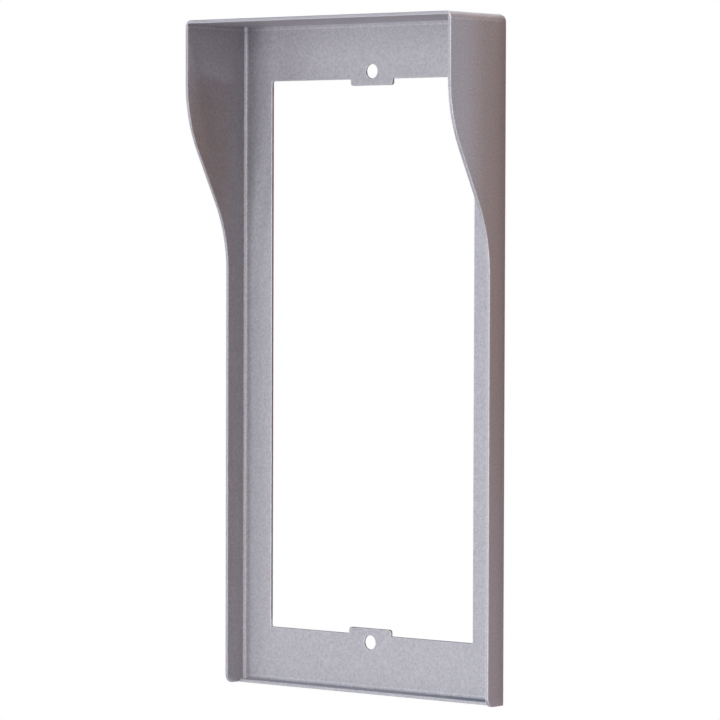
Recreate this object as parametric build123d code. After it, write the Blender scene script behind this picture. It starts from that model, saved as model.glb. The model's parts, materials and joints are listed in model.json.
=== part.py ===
from build123d import *
import os

# Rain hood for a tall door station: one blank of coated steel sheet, folded along four lines and
# closed with weld at the two top corners.
# Frame: the wall is the plane y = 0, the hood stands out towards -Y, +Z is up, and the origin is
# halfway between the two screw holes. All sizes are in millimetres.

# Overall size
hood_width = 112.0
hood_top = 112.2            # height of the roof's outer face above the origin
hood_bottom = -111.8        # height of the cheeks' lower edge
sheet = 1.1                 # 1.0 mm steel with its powder coat

# Folds: tight ones, so the sheet is drawn a little thinner round them
fold_outside = 2.3          # also the dressed round of the welds
side_inside = 1.1           # inner radius of the cheeks' folds
roof_inside = 0.6           # inner radius of the roof's and the lip's folds
coat_round = 0.25           # soft edge that the coat leaves on every cut edge
sharp_angle = 45.0          # degrees between two faces, above which their edge is a cut edge

# Cheek outline, seen from the side
upper_depth = 30.8          # roof and upper cheeks, from the wall
lower_depth = 9.8           # lower cheeks, from the wall
shoulder_z = 79.0           # corner where the upper front edge leans back, before its arc
waist_z = 40.5              # corner where the lean meets the lower front edge, before its arc
sweep_radius = 47.0         # both arcs of the S-curve
toe_radius = 3.0            # lower front corner of a cheek

# Bottom lip
lip_depth = 4.6             # from the wall

# Window, tabs and screw holes
window_width = 86.0
window_height = 184.9
window_corner = 0.6
tab_width = 17.9
tab_reach = 2.15            # how far a tab stands into the window
tab_corner = 1.0
hole_spacing = 190.0
hole_diameter = 4.8
hole_flare = 0.3            # break-out of the punched hole at the back face

# Worked out from the sizes above
half_width = hood_width / 2
hood_height = hood_top - hood_bottom
inside = half_width - sheet             # inner face of a cheek
cheek_start = half_width - fold_outside # a cheek with its fold begins here
plate_top = hood_top - fold_outside     # the roof with its fold, and the welds, begin here
plate_bottom = hood_bottom + fold_outside
clear = 10.0                            # overshoot of cutting shapes


def block(x0, x1, y0, y1, z0, z1):
    """A box between two corners."""
    return Pos((x0 + x1) / 2, (y0 + y1) / 2, (z0 + z1) / 2) * Box(x1 - x0, y1 - y0, z1 - z0)


def edges_along(shape, axis, *places):
    """The edges along an axis, kept where each (axis, value) place is met."""
    found = shape.edges().filter_by(axis)
    for across, value in places:
        found = found.filter_by_position(across, value - coat_round, value + coat_round)
    return found


def sharp_edges(shape):
    """Outward edges where two faces meet at a clear angle: the cut edges of the sheet."""
    faces = shape.faces()
    found = []
    for edge in shape.edges():
        middle = edge @ 0.5
        beside = [face for face in faces if face.distance_to(middle) < 1e-4]
        if len(beside) < 2 or edge.is_interior:
            continue
        if beside[0].normal_at(middle).get_angle(beside[1].normal_at(middle)) > sharp_angle:
            found.append(edge)
    return found


def rounded_prism(plane, corners, radii, length):
    """A closed outline with rounded corners, extruded both ways from its plane."""
    face = make_face(plane * FilletPolyline(*corners, radius=radii, close=True))
    return extrude(face, length, both=True)


def is_softened(point):
    """Cut edges on the outside, round the plate's openings and along the lip. The rest stay crisp."""
    outside = abs(point.X) > inside + coat_round or point.Z > hood_top - coat_round
    beside = window_width / 2 + coat_round
    opening = abs(point.X) < beside and abs(point.Z) < hole_spacing / 2 + hole_diameter
    lip_front = abs(point.X) < inside / 2 and point.Z < plate_bottom
    return outside or opening or lip_front


def folded_shell():
    """Back, sides and roof as one folded sheet, open in front and below."""
    outer = block(-half_width, half_width, -upper_depth, 0, hood_bottom, hood_top)
    outer = fillet(edges_along(outer, Axis.X, (Axis.Y, 0), (Axis.Z, hood_top)), fold_outside)
    # the side folds run on over the roof fold and along the roof's ends, so one round makes all three
    outer = fillet(edges_along(outer, Axis.Z, (Axis.Y, 0)), fold_outside)
    low = hood_bottom - clear
    high = hood_top - sheet
    front = -upper_depth - clear
    plan = [(-inside, -sheet), (inside, -sheet), (inside, front), (-inside, front)]
    across = rounded_prism(Plane.XY, plan, [side_inside, side_inside, 0, 0], 2 * hood_height)
    side = [(-sheet, high), (-sheet, low), (front, low), (front, high)]
    along = rounded_prism(Plane.YZ, side, [roof_inside, 0, 0, 0], hood_width)
    return outer - (across & along)


def side_slab():
    """The cheeks' S-curved outline, as a slab wider than the hood."""
    outline = [
        (-upper_depth, hood_top + clear),
        (-upper_depth, shoulder_z),
        (-lower_depth, waist_z),
        (-lower_depth, hood_bottom),
        (clear, hood_bottom),
        (clear, hood_top + clear),
    ]
    radii = [0, sweep_radius, sweep_radius, toe_radius, 0, 0]
    face = make_face(Plane.YZ * FilletPolyline(*outline, radius=radii, close=True))
    return Pos(-half_width - clear, 0, 0) * extrude(face, hood_width + 2 * clear, dir=(1, 0, 0))


def folded_lip():
    """The short lip folded up at the foot of the plate."""
    section = [
        (0, plate_bottom + clear),
        (0, hood_bottom),
        (-lip_depth, hood_bottom),
        (-lip_depth, hood_bottom + sheet),
        (-sheet, hood_bottom + sheet),
        (-sheet, plate_bottom + clear),
    ]
    radii = [0, fold_outside, 0, 0, roof_inside, 0]
    face = make_face(Plane.YZ * FilletPolyline(*section, radius=radii, close=True))
    return Pos(-cheek_start, 0, 0) * extrude(face, 2 * cheek_start, dir=(1, 0, 0))


def window():
    """The opening in the plate, with a tab left standing into it at the top and the bottom."""
    opening = RectangleRounded(window_width, window_height, window_corner)
    for side in (-1, 1):
        edge_z = side * window_height / 2
        tab = Pos(0, edge_z - side * tab_reach / 2) * Rectangle(tab_width, tab_reach)
        opening -= tab
    tips = [v for v in opening.vertices() if abs(abs(v.Y) - (window_height / 2 - tab_reach)) < 0.01]
    opening = fillet(tips, tab_corner)
    return Pos(0, clear, 0) * extrude(Plane.XZ * opening, 2 * clear)


def screw_holes():
    """A punched hole through each tab, slightly wider at the back face."""
    holes = []
    for side in (-1, 1):
        centre = Pos(0, 0, side * hole_spacing / 2) * Rot(X=90)
        holes.append(centre * Cylinder(hole_diameter / 2, 2 * clear))
        flare = Cone(hole_diameter / 2 + hole_flare, hole_diameter / 2, hole_flare)
        holes.append(centre * Pos(0, 0, hole_flare / 2) * flare)
    return holes


def hood():
    """The whole folded and welded hood, before it is split into its walls."""
    body = folded_shell() & side_slab()
    body -= block(-cheek_start, cheek_start, -upper_depth, clear, hood_bottom - clear, plate_bottom)
    body += folded_lip()
    body -= window()
    for hole in screw_holes():
        body -= hole
    soft = [edge for edge in sharp_edges(body) if is_softened(edge @ 0.5)]
    return fillet(soft, coat_round)


def walls(body):
    """The hood's walls by name, cut apart where the folds begin and at the ends of the welds."""
    front = -upper_depth - clear
    left_cheek = block(-half_width - clear, -cheek_start, front, clear, hood_bottom - clear, plate_top)
    left_weld = block(-half_width - clear, -cheek_start, front, clear, plate_top, hood_top + clear)
    roof = block(-cheek_start, cheek_start, front, clear, plate_top, hood_top + clear)
    plate = block(-cheek_start, cheek_start, front, clear, plate_bottom, plate_top)
    lip = block(-cheek_start, cheek_start, front, clear, hood_bottom - clear, plate_bottom)
    return {
        "back_plate": body & plate,
        "left_cheek": body & left_cheek,
        "right_cheek": body & mirror(left_cheek, Plane.YZ),
        "roof": body & roof,
        "bottom_lip": body & lip,
        "left_corner_weld": body & left_weld,
        "right_corner_weld": body & mirror(left_weld, Plane.YZ),
    }


os.makedirs("parts", exist_ok=True)
for name, wall in walls(hood()).items():
    export_step(wall, f"parts/{name}.step")
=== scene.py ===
import json
from math import cos, radians, sin

import bpy
from mathutils import Matrix, Vector


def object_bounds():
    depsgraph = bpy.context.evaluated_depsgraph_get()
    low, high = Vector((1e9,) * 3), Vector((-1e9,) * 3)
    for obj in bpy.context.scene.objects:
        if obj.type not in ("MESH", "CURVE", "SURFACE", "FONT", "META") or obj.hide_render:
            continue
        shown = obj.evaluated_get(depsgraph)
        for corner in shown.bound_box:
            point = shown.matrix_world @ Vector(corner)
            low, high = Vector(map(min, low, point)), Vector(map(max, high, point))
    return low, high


# The looks of a powder-coated sheet-metal rain hood. Metres, in the CAD model's own frame:
# +Z up, the wall is the plane y = 0, and the hood's front faces -Y.

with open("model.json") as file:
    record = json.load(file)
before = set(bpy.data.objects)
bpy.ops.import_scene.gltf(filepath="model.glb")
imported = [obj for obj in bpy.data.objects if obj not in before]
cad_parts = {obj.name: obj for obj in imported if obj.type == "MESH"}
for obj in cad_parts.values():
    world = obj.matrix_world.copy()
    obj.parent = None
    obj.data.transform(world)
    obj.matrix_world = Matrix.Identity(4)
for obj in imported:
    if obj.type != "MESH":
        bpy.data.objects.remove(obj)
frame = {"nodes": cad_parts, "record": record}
cad_low, cad_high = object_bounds()

# Camera: to the right of the hood and a little above its middle, far away with a long lens.
# Turns are in degrees, and the lens and the sensor in millimetres.
AIM = Vector((-0.0054, 0.0, -0.0010))
DISTANCE = 1.3591
YAW = 38.867
PITCH = 1.938
ROLL = 0.176
LENS = 203.8
SENSOR = 36.0
FAR = 50.0                  # the camera sees this far, past the floor's edge

# Studio
WHITE = (1.0, 1.0, 1.0)
MATT_ROUGHNESS = 0.9
FLOOR_DROP = 0.45           # the hood hangs as on its wall, this far above the pale floor
FLOOR_SIZE = 12.0
FLOOR_SHADE = (0.80, 0.80, 0.80)
LIGHT_REACH = 1.5           # from the origin to each light
LIGHT_SIZE = 0.8
LOW_LIGHT_SIZE = 0.5        # the low lights have to clear the floor
ROOM_GLOW = 0.02

# Brown board behind the hood: only its reflection is seen
BOARD_SHADE = (0.30, 0.16, 0.11)
BOARD_FOOT_PAINTED_LIGHT = (0.45, 0.36, 0.38)   # painted light: paler and greyer low down, as if lit by the pale floor
BOARD_FADE = -0.35          # where the fade ends, in board heights from its middle, where it begins
BOARD_MARGIN = 0.019        # how far it reaches past the hood's right side, top and bottom
BOARD_GAP = 0.001           # from the plate's back to the board in the window

# Coat: colours with their alpha, and the sizes and depths of its textures
DARK_GRAIN = (0.40, 0.395, 0.43, 1.0)
LIGHT_GRAIN = (0.60, 0.595, 0.64, 1.0)
COOL_TINT = (0.95, 1.0, 1.05, 1.0)
WARM_TINT = (1.05, 0.985, 0.985, 1.0)
NO_CHANGE = (1.0, 1.0, 1.0, 1.0)
EDGE_WEAR_AND_HIGHLIGHT = (1.30, 1.30, 1.28, 1.0)     # the coat is thinner and lighter along the cut edges, and this also paints the highlight the edges catch
FOLD_HIGHLIGHT_PAINT = (1.62, 1.64, 1.66, 1.0)   # painted highlight along the upright folds, where the bend catches the light
COAT_METALLIC = 0.55
COAT_ROUGHNESS = (0.42, 0.54)
GRAIN_SIZE = 0.0007
GRAIN_DETAIL = 3.0
GRAIN_CRISPNESS = 0.6
PATCH_SIZE = 0.0011         # faint cool and warm patches, and the orange peel
PEEL_DEPTH = 0.00005
PEEL_STRENGTH = 0.9
WAVE_SIZE = 0.016           # slow waves of the sheet under its coat
WAVE_DEPTH = 0.0004
WAVE_STRENGTH = 0.20
WELD_GRAIN = 1.2            # the coat over a dressed weld is rougher
WELD_RIPPLE = 1.8           # and wavier

# Where masks begin and where they are full
NOISE_SPAN = (0.25, 0.75)   # nearly all of a noise texture's values
EDGE_REACH = 0.0007         # how far the wear spreads from an edge
EDGE_SPAN = (0.995, 0.90)   # cosine between the true normal and the one softened over that reach
FOLD_SPAN = (0.18, 0.40)    # sideways part of the normal times its forward part

# Blender's Mix node has one set of sockets for each kind of data, so its colour ones go by number
COLOUR_MIX_INPUTS = (0, 6, 7)
COLOUR_MIX_OUTPUT = 2


class Surface:
    """A Principled material built node by node, with textures placed in the object's own space."""

    def __init__(self, name):
        self.material = bpy.data.materials.new(name)
        self.material.use_nodes = True
        self.nodes = self.material.node_tree.nodes
        self.link = self.material.node_tree.links.new
        self.shader = self.nodes["Principled BSDF"]
        own = self.nodes.new("ShaderNodeTexCoord")
        self.place = own.outputs["Object"]
        self.facing = own.outputs["Normal"]

    def noise(self, size, detail=2.0, crispness=0.5):
        """Cloudy noise whose blobs are about size metres across."""
        node = self.nodes.new("ShaderNodeTexNoise")
        node.inputs["Scale"].default_value = 1 / size
        node.inputs["Detail"].default_value = detail
        node.inputs["Roughness"].default_value = crispness
        self.link(self.place, node.inputs["Vector"])
        return node.outputs["Fac"]

    def ramp(self, value, span, low=0.0, high=1.0):
        """A number that goes from low to high as the value goes through the span."""
        node = self.nodes.new("ShaderNodeMapRange")
        node.inputs["From Min"].default_value, node.inputs["From Max"].default_value = span
        node.inputs["To Min"].default_value = low
        node.inputs["To Max"].default_value = high
        self.link(value, node.inputs["Value"])
        return node.outputs["Result"]

    def between(self, factor, first, second):
        """A colour that goes from first to second as the factor goes from 0 to 1."""
        node = self.nodes.new("ShaderNodeMix")
        node.data_type = "RGBA"
        factor_in, first_in, second_in = (node.inputs[place] for place in COLOUR_MIX_INPUTS)
        self.link(factor, factor_in)
        first_in.default_value = first
        second_in.default_value = second
        return node.outputs[COLOUR_MIX_OUTPUT]

    def worked_out(self, kind, operation, *values):
        """The outputs of a Math or Vector Math node."""
        node = self.nodes.new(kind)
        node.operation = operation
        for value, socket in zip(values, node.inputs):
            self.link(value, socket)
        return node.outputs

    def times(self, first, second):
        """The product of two colours, channel by channel."""
        return self.worked_out("ShaderNodeVectorMath", "MULTIPLY", first, second)["Vector"]

    def parts_of(self, vector):
        """The X, Y and Z parts of a vector."""
        node = self.nodes.new("ShaderNodeSeparateXYZ")
        self.link(vector, node.inputs["Vector"])
        return node.outputs

    def near_edge(self):
        """0 on open surfaces, rising to 1 at an edge."""
        soft = self.nodes.new("ShaderNodeBevel")
        soft.inputs["Radius"].default_value = EDGE_REACH
        true = self.nodes.new("ShaderNodeNewGeometry")
        normals = (soft.outputs["Normal"], true.outputs["Normal"])
        cosine = self.worked_out("ShaderNodeVectorMath", "DOT_PRODUCT", *normals)["Value"]
        return self.ramp(cosine, EDGE_SPAN)

    def on_upright_folds(self):
        """0 on the flat walls, rising to 1 where the sheet turns from facing forward to facing sideways."""
        parts = self.parts_of(self.facing)
        both = self.worked_out("ShaderNodeMath", "MULTIPLY", parts["X"], parts["Y"])["Value"]
        return self.ramp(self.worked_out("ShaderNodeMath", "ABSOLUTE", both)["Value"], FOLD_SPAN)

    def bump(self, height, depth, strength, below=None):
        """A normal that follows the height, on top of the normal below."""
        node = self.nodes.new("ShaderNodeBump")
        node.inputs["Strength"].default_value = strength
        node.inputs["Distance"].default_value = depth
        self.link(height, node.inputs["Height"])
        if below:
            self.link(below, node.inputs["Normal"])
        return node.outputs["Normal"]


def powder_coat(name, grain=1.0, ripple=1.0):
    """Silver-grey powder coat. grain scales its orange peel, and ripple the slow waves under it."""
    coat = Surface(name)
    speckle = coat.noise(GRAIN_SIZE, GRAIN_DETAIL, GRAIN_CRISPNESS)
    patches = coat.noise(PATCH_SIZE)
    shade = coat.between(coat.ramp(speckle, NOISE_SPAN), DARK_GRAIN, LIGHT_GRAIN)
    tint = coat.between(coat.ramp(patches, NOISE_SPAN), COOL_TINT, WARM_TINT)
    # Lighter along the edges: partly a thinner coat, partly a painted highlight.
    edge_wear_and_highlight = coat.between(coat.near_edge(), NO_CHANGE, EDGE_WEAR_AND_HIGHLIGHT)
    # A painted highlight along the upright folds, lighter than the flat walls.
    painted_fold_highlight = coat.between(coat.on_upright_folds(), NO_CHANGE, FOLD_HIGHLIGHT_PAINT)
    colour = coat.times(coat.times(shade, tint), coat.times(edge_wear_and_highlight, painted_fold_highlight))
    coat.link(colour, coat.shader.inputs["Base Color"])
    coat.link(coat.ramp(speckle, NOISE_SPAN, *COAT_ROUGHNESS), coat.shader.inputs["Roughness"])
    coat.shader.inputs["Metallic"].default_value = COAT_METALLIC
    waves = coat.bump(coat.noise(WAVE_SIZE), WAVE_DEPTH, WAVE_STRENGTH * ripple)
    peel = coat.bump(patches, PEEL_DEPTH, PEEL_STRENGTH * grain, waves)
    coat.link(peel, coat.shader.inputs["Normal"])
    return coat.material


def dress_nodes():
    """Each sheet wall gets the coat, and each weld a coat that shows the dressed bead under it."""
    sheet = powder_coat("silver_powder_coat")
    weld = powder_coat("coat_over_dressed_weld", WELD_GRAIN, WELD_RIPPLE)
    for name, obj in frame["nodes"].items():
        obj.data.materials.clear()
        obj.data.materials.append(weld if "weld" in name else sheet)
        obj.data.shade_smooth()


def matt(name, colour):
    """A plain matt material."""
    plain = Surface(name)
    plain.shader.inputs["Base Color"].default_value = (*colour, 1.0)
    plain.shader.inputs["Roughness"].default_value = MATT_ROUGHNESS
    return plain.material


def sheet_of(name, material, size, place, upright=False):
    """A flat stage sheet, lying or standing to face -Y."""
    turn = (radians(90), 0, 0) if upright else (0, 0, 0)
    bpy.ops.mesh.primitive_plane_add(size=1, location=place, rotation=turn)
    obj = bpy.context.object
    obj.name = name
    obj.scale = (*size, 1)
    obj.data.materials.append(material)
    return obj


def shown_to_camera(tree, output, lit, seen):
    """Sends the seen shader to the output for camera rays, and the lit one for all other rays."""
    path = tree.nodes.new("ShaderNodeLightPath")
    both = tree.nodes.new("ShaderNodeMixShader")
    for source, socket in zip((path.outputs["Is Camera Ray"], lit, seen), both.inputs):
        tree.links.new(source, socket)
    tree.links.new(both.outputs["Shader"], tree.nodes[output].inputs["Surface"])


def floor():
    """A pale floor that the camera sees as clean white, like the background it runs into."""
    material = matt("pale_floor", FLOOR_SHADE)
    tree = material.node_tree
    seen = tree.nodes.new("ShaderNodeEmission")
    lit = tree.nodes["Principled BSDF"].outputs["BSDF"]
    shown_to_camera(tree, "Material Output", lit, seen.outputs["Emission"])
    sheet_of("floor", material, (FLOOR_SIZE, FLOOR_SIZE), (0, 0, cad_low.z - FLOOR_DROP))


def board_with_painted_floor_light():
    """The board's material beside the hood, with painted light from the floor that makes it paler and
    greyer towards its foot.
    """
    fading = Surface("board_with_painted_floor_light")
    fade = fading.ramp(fading.parts_of(fading.place)["Y"], (0.0, BOARD_FADE))
    # Painted floor light: the board's colour turns paler and greyer towards its foot.
    shade = fading.between(fade, (*BOARD_SHADE, 1.0), (*BOARD_FOOT_PAINTED_LIGHT, 1.0))
    fading.link(shade, fading.shader.inputs["Base Color"])
    fading.shader.inputs["Roughness"].default_value = MATT_ROUGHNESS
    return fading.material


def board(name, material, left, right, foot, head, gap):
    """A piece of the board, unseen by the camera and standing a gap behind the plate's back."""
    middle = ((left + right) / 2, cad_high.y + gap, (foot + head) / 2)
    sheet = sheet_of(name, material, (right - left, head - foot), middle, upright=True)
    sheet.visible_camera = False


def boards():
    """The brown board where the hood leaves it open: in the window and beside the right cheek."""
    openings = frame["record"]["physics"]["openings"]
    start, end = next(opening["box_m"] for opening in openings if opening["name"] == "window")
    brown = matt("brown_board", BOARD_SHADE)
    board("board_in_window", brown, start[0], end[0], start[2], end[2], BOARD_GAP)
    far_right = cad_high.x + BOARD_MARGIN
    foot = cad_low.z - BOARD_MARGIN
    head = cad_high.z + BOARD_MARGIN
    board("board_beside", board_with_painted_floor_light(), cad_high.x, far_right, foot, head, 0.0)


def area_light(name, around, above, power, colour=WHITE, size=LIGHT_SIZE):
    """A soft square light that faces the origin, with its power in watts. around and above are in
    degrees: 0 around is in front of the hood and 90 to its right."""
    data = bpy.data.lights.new(name, "AREA")
    data.size = size
    data.energy = power
    data.color = colour
    around, above = radians(around), radians(above)
    way = Vector((sin(around) * cos(above), -cos(around) * cos(above), sin(above)))
    obj = bpy.data.objects.new(name, data)
    obj.location = way * LIGHT_REACH
    obj.rotation_euler = (-way).to_track_quat("-Z", "Y").to_euler()
    bpy.context.scene.collection.objects.link(obj)


def lights():
    """Soft light from all round: cool from high in front and low behind, and warm from the right."""
    area_light("key", 0, 10, 5.6)
    area_light("front_left", -50, 5, 2.3)
    area_light("high_front", -20, 50, 3.0, (0.43, 0.75, 1.0))
    area_light("high_right", 90, 55, 17, (1.0, 0.87, 0.83))
    area_light("right", 68, 8, 2.3, (1.0, 0.87, 0.72))
    area_light("left", -120, 12, 3)
    area_light("back", -165, 25, 5)
    area_light("low_front", -15, -11, 5.2, size=LOW_LIGHT_SIZE)
    area_light("low_back", 130, -11, 2.7, (0.72, 0.85, 1.0), size=LOW_LIGHT_SIZE)


def surroundings():
    """White behind the hood, and a dim room that lights it."""
    world = bpy.data.worlds.new("studio")
    bpy.context.scene.world = world
    world.use_nodes = True
    tree = world.node_tree
    room = tree.nodes["Background"]
    seen = tree.nodes.new("ShaderNodeBackground")
    for background in (room, seen):
        background.inputs["Color"].default_value = (*WHITE, 1.0)
    room.inputs["Strength"].default_value = ROOM_GLOW
    shown_to_camera(tree, "World Output", room.outputs["Background"], seen.outputs["Background"])
    bpy.context.scene.view_settings.view_transform = "Standard"


def camera():
    """The long lens, turned on its own axis by ROLL and looking at AIM."""
    data = bpy.data.cameras.new("camera")
    data.lens = LENS
    data.sensor_width = SENSOR
    data.clip_end = FAR
    obj = bpy.data.objects.new("camera", data)
    turn = Matrix.Rotation(radians(YAW), 4, "Z") @ Matrix.Rotation(radians(90 - PITCH), 4, "X")
    turn = turn @ Matrix.Rotation(radians(ROLL), 4, "Z")
    back = turn.to_3x3() @ Vector((0, 0, 1))
    obj.matrix_world = Matrix.Translation(AIM + back * DISTANCE) @ turn
    bpy.context.scene.collection.objects.link(obj)
    bpy.context.scene.camera = obj


dress_nodes()
floor()
boards()
lights()
surroundings()
camera()
